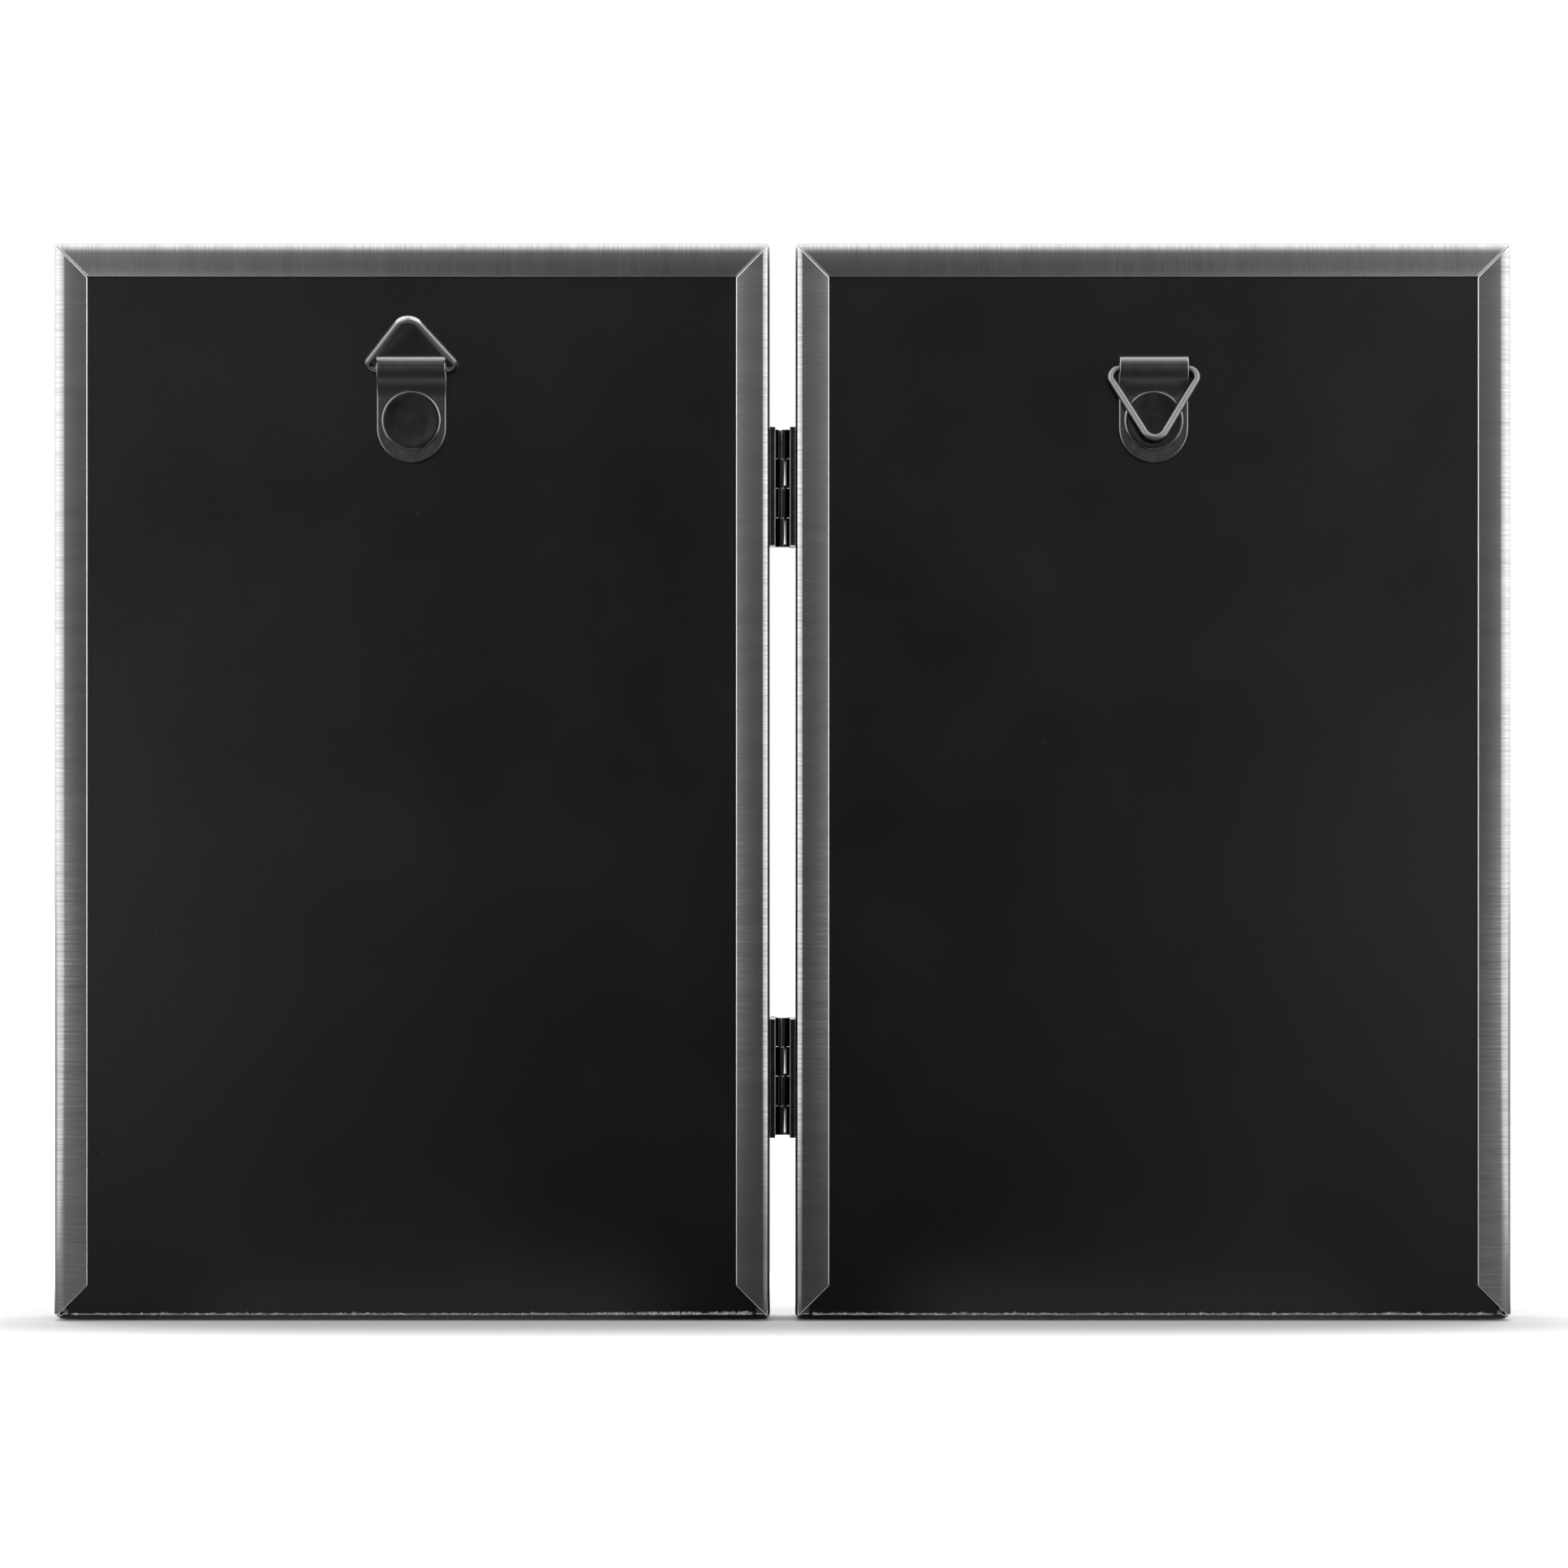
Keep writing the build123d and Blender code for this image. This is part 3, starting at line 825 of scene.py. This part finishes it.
for panel in panel_sides:
    strap = hanger_strap(f"{panel}_hanger_strap_folded", f"{panel}_hanger_strap")
    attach(strap, f"{panel}_back")
    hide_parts(f"{panel}_hanger_strap")


# Strap rivets
# A broad flat-headed steel rivet holds the strap. Its rim is rounded and its face slightly dished, its
# shank goes through the board, and the tail is clinched in a recess on the board's front.
rivet_head = 4.75 * mm
rivet_head_height = 0.7 * mm
rivet_rim = 0.35 * mm
rivet_flat = 0.7 * mm
rivet_dish = 0.05 * mm
rivet_bevel = 0.05 * mm
rivet_centre = 0.3 * mm
rivet_rim_highlight = 0.3 * mm
rivet_shank = 1.5 * mm
rivet_tail = 3.0 * mm
rivet_tail_height = 0.5 * mm
tail_round = 0.15 * mm
turned_steps = 72


def arc(centre, radius, start, stop, count):
    """Points on a circle between two angles in degrees, as (distance from the axis, place along it)."""
    angle = np.radians(np.linspace(start, stop, count))
    return centre[0] + radius * np.cos(angle), centre[1] + radius * np.sin(angle)


def turned(name, outline, origin, axis, finish):
    """An outline turned round an axis. A point is the origin, plus its place along the axis, plus its
    distance times the cosine and sine of the angle in the two directions square to the axis."""
    distance = np.concatenate([np.atleast_1d(part[0]) for part in outline])
    place = np.concatenate([np.atleast_1d(part[1]) for part in outline])
    axis = np.array(axis, float)
    first = np.cross(axis, up if abs(axis @ up) < 0.9 else right)
    second = np.cross(axis, first)
    angle = np.linspace(0, 2 * np.pi, turned_steps, endpoint=False)[:, None, None]
    swing = np.cos(angle) * first + np.sin(angle) * second
    points = np.array(origin) + distance[:, None] * swing + place[:, None] * axis
    rows, count = points.shape[:2]
    index = np.arange(rows * count).reshape(rows, count)
    following = np.roll(index, -1, axis=0)
    quads = np.stack([index[:, :-1], index[:, 1:], following[:, 1:], following[:, :-1]], axis=-1)
    return add_piece(name, points, quads.reshape(-1, 4).tolist(), [finish])


rivet_black = black_metal_finish("rivet_black", dark=0.045, light=0.06, rough=0.15)
for panel in panel_sides:
    low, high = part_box(f"{panel}_hanger_rivet")
    middle = ((low.x + high.x) / 2, low.y, (low.z + high.z) / 2)
    length = high.y - low.y
    under = length - rivet_head_height
    dished = length - rivet_dish
    outline = [
        (0, 0), (rivet_tail * 0.5, 0), arc((rivet_tail - tail_round, tail_round), tail_round, -90, 0, 5),
        (rivet_tail, rivet_tail_height), (rivet_shank, rivet_tail_height), (rivet_shank, under),
        (rivet_head - rivet_bevel, under), (rivet_head, under + rivet_bevel),
        arc((rivet_head - rivet_rim, length - rivet_rim), rivet_rim, 0, 90, 9),
        (rivet_head - rivet_flat, length), (rivet_head * 0.72, length - rivet_dish * 0.8),
        (rivet_head * 0.5, dished), (rivet_centre, dished), (0, dished),
    ]
    rivet = turned(f"{panel}_hanger_rivet_turned", outline, middle, back, rivet_black)
    vertices = rivet.data.vertices
    from_axis = [np.hypot(vertex.co.x - middle[0], vertex.co.z - middle[2]) for vertex in vertices]
    # Painted highlight: lighter steel colour in a thin ring at the rim of the rivet's head.
    add_painted_highlight(rivet, np.clip((np.array(from_axis) - rivet_head + rivet_rim_highlight) / rivet_rim_highlight, 0, 1))
    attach(rivet, f"{panel}_back")
    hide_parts(f"{panel}_hanger_rivet")


# Hanger rings
# Steel wire bent to a triangle with its ends meeting inside the strap's loop. One ring stands up and out,
# the other hangs down on its rivet, and its wire is a darker copy of the same wire, as painted shade.
wire_radius = 0.6 * mm
ring_base = 15.6 * mm
ring_rise = 13.25 * mm
ring_bend = 1.3 * mm
ring_apex_bend = 1.9 * mm
wire_end_round = 0.15 * mm
wire_steps = 24
ring_angles = {"left": 166.264, "right": 51.0}
pivot_depth = 1.7 * mm
pivot_drop = 2.2 * mm
ring_gap = 0.08 * mm


def wire_finish(name, dark, light):
    """Drawn steel wire between two greys: marks along its length, and slight tarnish that dulls it."""
    finish, tree, skin = new_finish(name)
    lengths = shader(tree, "UVMap", uv_map="metres").outputs[0]
    along = shader(tree, "Mapping", {"Vector": lengths, "Rotation": (0, 0, np.pi / 2)}).outputs[0]
    marks = place_group(tree, brushed_grain, {"Place": along, "Run": 2.5 * mm, "Pitch": 0.12 * mm})
    tarnish = noise(tree, object_place(tree), scale=500, detail=4)
    tone = mix(tree, 0.5, marks["Lines"], tarnish)
    feed(tree, skin, {
        "Base Color": mix_greys(tree, tone, dark, light),
        "Roughness": span(tree, tarnish, 0, 1, 0.24, 0.36),
        "Normal": relief(tree, marks["Lines"], 0.25, grain_depth),
        "Metallic": 1,
    })
    return finish


ring_finishes = {
    # Painted shade: the hanging ring's wire is a darker copy of the same wire.
    "left": wire_finish("ring_wire_shaded", dark=0.12, light=0.18),
    "right": wire_finish("ring_wire", dark=0.24, light=0.36),
}


def wire_ring(name, origin, angle, finish):
    """The ring: a circle carried along a rounded triangle that lies at an angle from straight up. A point is
    the line's point plus the wire's radius times the cosine of the turn along the line's normal and the
    sine along the ring plane's normal. The ends are rounded off by drawing the circle in."""
    half = ring_base / 2
    corners = [(ring_gap, 0), (half, 0), (0, ring_rise), (-half, 0), (-ring_gap, 0)]
    radii = [ring_bend, ring_apex_bend, ring_bend]
    plain = rounded_line(corners, radii)
    near = edge_stations(wire_end_round)
    end = plain[2][-1]
    line, normals, stations = rounded_line(corners, radii, np.concatenate([near, end - near]))
    lean = np.radians(angle)
    rise = np.array([0, np.sin(lean), np.cos(lean)])
    facing = np.cross(right, rise)
    radius = wire_radius - roll_off(np.minimum(stations, end - stations), wire_end_round)
    turn = np.linspace(0, 2 * np.pi, wire_steps + 1)
    flat = line[:, None, :] + (radius[:, None] * np.cos(turn))[..., None] * normals[:, None, :]
    height = radius[:, None] * np.sin(turn)
    points = np.array(origin) + flat[..., :1] * right + flat[..., 1:] * rise + height[..., None] * facing
    rows, columns = points.shape[:2]
    ends = [list(range(columns - 1)), list(range((rows - 1) * columns, rows * columns - 1))]
    faces = grid_faces(rows, columns) + ends
    uv = np.stack(np.broadcast_arrays(stations[:, None], turn * wire_radius), axis=-1)
    return add_piece(name, points, faces, [finish], uv=uv)


for panel, angle in ring_angles.items():
    low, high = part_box(f"{panel}_hanger_strap")
    pivot = ((low.x + high.x) / 2, low.y + pivot_depth, high.z - pivot_drop)
    ring = wire_ring(f"{panel}_hanger_ring_wire", pivot, angle, ring_finishes[panel])
    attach(ring, f"{panel}_ring")
    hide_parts(f"{panel}_hanger_ring")


# Hinges
# Small butt hinges with black leaves, each riveted flat to its panel's wall. Two knuckles of each leaf are
# rolled round a bright steel pin, and bright lips show from behind in the open seams of the left leaf.
leaf_edge = 0.1 * mm
pin_dome = 0.25 * mm
hinge_black = black_metal_finish("hinge_black", dark=0.045, light=0.065, rough=0.14)
# Painted highlight: a lighter copy of the black steel on the rounded edges of the hinge leaves.
leaf_edge_highlight = black_metal_finish("leaf_edge_highlight", dark=0.24, light=0.38, rough=0.22)
pin_steel = brushed_finish(
    "pin_steel", dark=0.62, light=0.80, rough=0.20, run=3 * mm, pitch=0.2 * mm, strength=0.1
)
axis_y = front - 0.5 * mm
seam_x = -0.35 * mm
seam_half_width = 0.19 * mm
seam_tilt = np.radians(27)
seam_margin = 0.45 * mm
seam_lift = 0.02 * mm
seam_crown = 0.03 * mm
seam_rows = 13
knuckles = 4


def seam_lips(name, low, high, pin_radius, finish):
    """The bright lips in the open seams of the left leaf, in the second and the last knuckle. A lip bends
    outwards on its way down. Its tilt grows evenly, so that its depth is the logarithm of the cosine of
    the tilt."""
    pitch = (high.z - low.z) / knuckles
    down = np.linspace(0, 1, seam_rows)
    length = pitch - 2 * seam_margin
    depth = -np.log(np.cos(seam_tilt * down)) / seam_tilt * length
    start = axis_y + np.sqrt(pin_radius ** 2 - seam_x ** 2) + seam_lift
    across = np.array([-1, 0, 1])
    points, faces = [], []
    for knuckle in (1, 3):
        top = high.z - knuckle * pitch - seam_margin
        x = seam_x + seam_half_width * across + 0 * down[:, None]
        y = start + depth[:, None] - seam_crown * np.abs(across)
        z = top - length * down[:, None] + 0 * across
        faces += grid_faces(seam_rows, 3, len(points) * seam_rows * 3)
        points.append(np.stack([x, y, z], axis=-1).reshape(-1, 3))
    points = np.concatenate(points)
    return add_piece(name, points, faces, [finish], uv=points[:, [0, 2]])


for level in ("upper", "lower"):
    for panel in panel_sides:
        node = f"{level}_hinge_{panel}_leaf"
        leaf = rounded_copy(f"{node}_rolled", node, leaf_edge, hinge_black, leaf_edge_highlight)
        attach(leaf, f"{panel}_panel")
    low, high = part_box(f"{level}_hinge_pin")
    radius = (high.x - low.x) / 2
    tall = high.z - low.z
    ends = radius - pin_dome
    outline = [
        (0, 0), arc((ends, pin_dome), pin_dome, -90, 0, 6),
        (radius, tall / 2), arc((ends, tall - pin_dome), pin_dome, 0, 90, 6), (0, tall),
    ]
    pin = turned(f"{level}_hinge_pin_turned", outline, (0, (low.y + high.y) / 2, low.z), up, pin_steel)
    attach(pin, "left_panel")
    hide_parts(f"{level}_hinge_pin")
    lips = seam_lips(f"{level}_hinge_seam_lips", low, high, radius, pin_steel)
    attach(lips, "left_panel")


# Leaf rivets
# Countersunk steel rivets fix the leaves to the walls of the hinge stiles. Their heads are flush, filed and
# blackened with the leaf, and their tails are clinched inside the channel.
leaf_rivet_edge = 0.06 * mm
for level in ("upper", "lower"):
    for panel in panel_sides:
        node = f"{level}_hinge_{panel}_rivets"
        rivets = rounded_copy(f"{node}_set", node, leaf_rivet_edge, hinge_black)
        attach(rivets, f"{panel}_panel")


# Floor, light and camera
# The frame stands on a white floor, in even soft light with bright walls at its sides and above, and
# with a darker room behind the camera. Seen in a reflection, the floor glows unevenly: painted reflections.
# The camera looks straight at the back, as in the photograph.
floor_half = 3.0
corner_signs = [(-1, -1), (1, -1), (1, 1), (-1, 1)]
shadow_reach = (3 * mm, 72 * mm)
sheen_glow = 0.55
sheen_width = (30 * mm, 45 * mm)
sheen_depth = (50 * mm, 120 * mm)
dim_glow = (0.1, 0.42)
dim_reach = (30 * mm, 160 * mm)
foot_glow = 0.18
foot_reach = 15 * mm
strip_glow = 1.5
strip_start = 0.05 * mm
strip_reach = (1.5 * mm, 4 * mm)
wing_glow = 2.0
wing_reach = (200 * mm, 360 * mm)
front_glow = 0.7
front_reach = (-60 * mm, -20 * mm)

floor_mesh = bpy.data.meshes.new("floor")
floor_mesh.from_pydata([(x * floor_half, y * floor_half, 0) for x, y in corner_signs], [], [(0, 1, 2, 3)])
floor = bpy.data.objects.new("floor", floor_mesh)
bpy.context.scene.collection.objects.link(floor)
floor.is_shadow_catcher = True


def floor_surface():
    """The floor: matt white, with a shadow that fades out away from the frame's footprint. In a reflection
    it glows: in a strip just outside the footprint, in wings far out at the sides, evenly in front, and
    dimly between, with a sheen behind each hanger."""
    finish, tree, skin = new_finish("floor")
    feed(tree, skin, {"Base Color": grey(0.85), "Roughness": 0.9, "Specular IOR Level": 0})
    parts = shader(tree, "SeparateXYZ", {0: object_place(tree)}).outputs
    aside = calc(tree, "ABSOLUTE", parts["X"])
    beyond_x = calc(tree, "SUBTRACT", aside, panel_outer)
    beyond_y = calc(tree, "SUBTRACT", parts["Y"], front + panel_depth)
    before_y = calc(tree, "SUBTRACT", front, parts["Y"])
    depth = calc(tree, "MAXIMUM", beyond_y, before_y)
    outside = {"X": calc(tree, "MAXIMUM", beyond_x, 0), "Y": calc(tree, "MAXIMUM", depth, 0)}
    offset = shader(tree, "CombineXYZ", outside).outputs[0]
    distance = shader(tree, "VectorMath", {0: offset}, operation="LENGTH").outputs["Value"]
    fade = span(tree, distance, *shadow_reach, easing="SMOOTHSTEP")
    clear = shader(tree, "BsdfTransparent").outputs[0]
    seen = shader(tree, "MixShader", {0: fade, 1: skin.outputs[0], 2: clear}).outputs[0]

    off_hanger = calc(tree, "ABSOLUTE", calc(tree, "SUBTRACT", aside, panel_middle))
    near_hanger = span(tree, off_hanger, *sheen_width, 1, 0)
    sheen = calc(tree, "MULTIPLY", span(tree, parts["Y"], *sheen_depth, 1, 0), near_hanger)
    dim = mix(tree, sheen, span(tree, aside, *dim_reach, *dim_glow), sheen_glow)
    middle = calc(tree, "MULTIPLY", span(tree, distance, 0, foot_reach, foot_glow, 1), dim)
    beyond = calc(tree, "GREATER_THAN", distance, strip_start)
    strip = calc(tree, "MULTIPLY", span(tree, distance, *strip_reach, strip_glow, 0), beyond)
    wing = span(tree, aside, *wing_reach, 0, wing_glow)
    bright = calc(tree, "MAXIMUM", middle, calc(tree, "MAXIMUM", strip, wing))
    glowing = mix(tree, span(tree, parts["Y"], *front_reach), front_glow, bright)
    glow = shader(tree, "Emission", {"Strength": glowing}).outputs[0]
    mirrored = shader(tree, "LightPath").outputs["Is Glossy Ray"]
    mixed = shader(tree, "MixShader", {0: mirrored, 1: seen, 2: glow}).outputs[0]
    tree.links.new(mixed, tree.nodes["Material Output"].inputs["Surface"])
    return finish


floor_mesh.materials.append(floor_surface())


def level_ramp(tree, value, levels):
    """The light at a value, from a colour ramp of greys that are given as place and level."""
    node = shader(tree, "ValToRGB", {0: value})
    ramp = node.color_ramp
    for place, level in levels[1:-1]:
        ramp.elements.new(place).color = grey(level)
    ramp.elements[0].color = grey(levels[0][1])
    ramp.elements[-1].color = grey(levels[-1][1])
    return node.outputs["Color"]


wall_levels = (
    (0, 0.02), (0.08, 0.03), (0.14, 0.09), (0.22, 0.33), (0.3, 0.47), (0.46, 0.58), (0.72, 0.69), (1, 0.95)
)
ceiling_levels = (
    (0, 0.009), (0.05, 0.02), (0.09, 0.08), (0.28, 0.14), (0.59, 0.24), (0.85, 0.46), (1, 0.64)
)
backdrop_levels = ((0, 0.85), (0.35, 0.95), (0.7, 0.6), (1, 0.32))
turning = 0.05
mirrored_gain = 3.3
diffuse_light = 0.55
room = bpy.data.worlds.new("room")
bpy.context.scene.world = room
room.use_nodes = True
room.cycles.sampling_method = "NONE"
tree = room.node_tree
parts = shader(tree, "SeparateXYZ", {0: shader(tree, "TexCoord").outputs["Generated"]}).outputs
walls = level_ramp(tree, calc(tree, "ABSOLUTE", parts["X"]), wall_levels)
ceiling = level_ramp(tree, parts["Z"], ceiling_levels)
backdrop = level_ramp(tree, calc(tree, "MULTIPLY", parts["Y"], -1), backdrop_levels)
facing = span(tree, parts["Y"], -turning, turning)
shown = mix(tree, facing, backdrop, calc(tree, "ADD", walls, ceiling))
path = shader(tree, "LightPath").outputs
gained = calc(tree, "MULTIPLY", shown, mirrored_gain)
reflected = mix(tree, path["Is Glossy Ray"], diffuse_light, gained)
seen = calc(tree, "MAXIMUM", path["Is Camera Ray"], path["Is Transmission Ray"])
feed(tree, tree.nodes["Background"], {"Color": grey(1), "Strength": mix(tree, seen, reflected, 1)})

softboxes = {
    "left_wall": ((-1.1, -0.1, 0.35), (0, 0, 0.09), 1.2, 1.2, 1.2),
    "right_wall": ((1.1, -0.1, 0.35), (0, 0, 0.09), 1.2, 1.2, 1.2),
    "ceiling": ((0, -0.5, 1.2), (0, 0, 0.05), 1.4, 1.0, 1.7),
}
for name, (place, target, wide, tall, radiance) in softboxes.items():
    lamp = bpy.data.lights.new(name, "AREA")
    lamp.shape = "RECTANGLE"
    lamp.size, lamp.size_y = wide, tall
    lamp.energy = radiance * np.pi * wide * tall
    box = bpy.data.objects.new(name, lamp)
    box.location = place
    aim = Vector(target) - Vector(place)
    box.rotation_euler = aim.to_track_quat("-Z", "Y").to_euler()
    box.visible_camera = False
    box.visible_glossy = False
    bpy.context.scene.collection.objects.link(box)

photo_side = 1932
photo_left, photo_right = 66.0, 1862.5
photo_top, photo_bottom = 298.5, 1629.0
camera_distance = 0.95
metres_per_pixel = 2 * panel_outer / (photo_right - photo_left)
shift_right = (photo_left + photo_right) / 2 - photo_side / 2
shift_down = (photo_top + photo_bottom) / 2 - photo_side / 2
lens = bpy.data.cameras.new("camera")
lens.sensor_width = 36
lens.lens = lens.sensor_width * camera_distance / (photo_side * metres_per_pixel)
lens.clip_start, lens.clip_end = 0.01, 50
camera = bpy.data.objects.new("camera", lens)
camera.location = (
    shift_right * metres_per_pixel,
    front + panel_depth + camera_distance,
    panel_height / 2 + shift_down * metres_per_pixel,
)
camera.rotation_euler = (np.pi / 2, 0, np.pi)
bpy.context.scene.collection.objects.link(camera)
bpy.context.scene.camera = camera
bpy.context.scene.view_settings.view_transform = "Standard"
